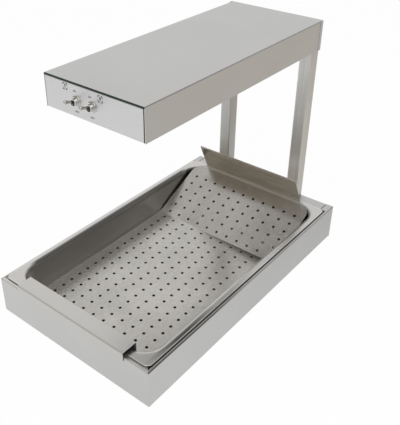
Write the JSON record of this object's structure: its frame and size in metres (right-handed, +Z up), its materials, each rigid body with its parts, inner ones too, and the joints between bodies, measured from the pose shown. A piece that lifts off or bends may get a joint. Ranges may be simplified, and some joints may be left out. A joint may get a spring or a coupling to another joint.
{
  "type": "fry warmer",
  "caption": "Countertop fry warmer: a heat and light head on square posts over a perforated tray in a food pan, with toggle switches.",
  "frame": {"origin": "on the table, under the middle of the base", "axes": "+X to the right, +Y to the rear, +Z up; the switches and the tray's lip face -Y"},
  "size_m": [0.3573, 0.6545, 0.438],
  "materials": {
    "stainless": "brushed",
    "bright_steel": "polished",
    "inner_steel": "satin",
    "reflector_metal": "polished",
    "heater_sheath": "satin",
    "ceramic": "gloss",
    "bulb_glass": "frosted",
    "chrome": "polished",
    "black_plastic": "matte",
    "cord_rubber": "matte",
    "trim_rubber": "matte",
    "pin_metal": "polished"
  },
  "bodies": {
    "base": {"front_rail": "stainless", "rear_rail": "stainless", "left_rail": "stainless", "right_rail": "stainless", "corner_gussets": "stainless", "left_post": "stainless", "right_post": "stainless", "head_cover": "stainless", "front_panel": "stainless", "rear_panel": "stainless", "bottom_plate": "stainless", "heat_shield": "inner_steel", "heater_clips": "inner_steel", "reflector_standoffs": "inner_steel", "reflector": "reflector_metal", "heating_tube": "heater_sheath", "heater_terminals": "ceramic", "lamp_holder": "ceramic", "lamp_bulb": "bulb_glass", "light_switch_bushing": "chrome", "heat_switch_bushing": "chrome", "switch_washers": "chrome", "switch_nuts": "chrome", "base_screws": "chrome", "head_screws": "chrome", "terminal_block": "black_plastic", "light_switch_body": "black_plastic", "heat_switch_body": "black_plastic", "strain_relief": "black_plastic", "cable_tie": "black_plastic", "plug": "black_plastic", "wire_loom": "cord_rubber", "power_cord": "cord_rubber", "cord_hank": "cord_rubber", "plug_lead": "cord_rubber", "edge_trim": "trim_rubber", "plug_pins": "pin_metal"},
    "pan": {"food_pan": "bright_steel"},
    "tray": {"perforated_tray": "bright_steel"},
    "light_lever": {"light_switch_lever": "chrome"},
    "heat_lever": {"heat_switch_lever": "chrome"}
  },
  "joints": [
    {"name": "pan_lift", "type": "slide", "parent": "base", "child": "pan", "axis": [0, 0, 1], "range_m": [0, 0.1]},
    {"name": "tray_lift", "type": "slide", "parent": "pan", "child": "tray", "axis": [0, 0, 1], "range_m": [0, 0.12]},
    {"name": "light_switch", "type": "hinge", "parent": "base", "child": "light_lever", "pos_m": [-0.03255, -0.1981, 0.4092], "axis": [1, 0, 0], "range_deg": [0, 34]},
    {"name": "heat_switch", "type": "hinge", "parent": "base", "child": "heat_lever", "pos_m": [-0.00105, -0.1981, 0.4092], "axis": [1, 0, 0], "range_deg": [0, 34]}
  ]
}
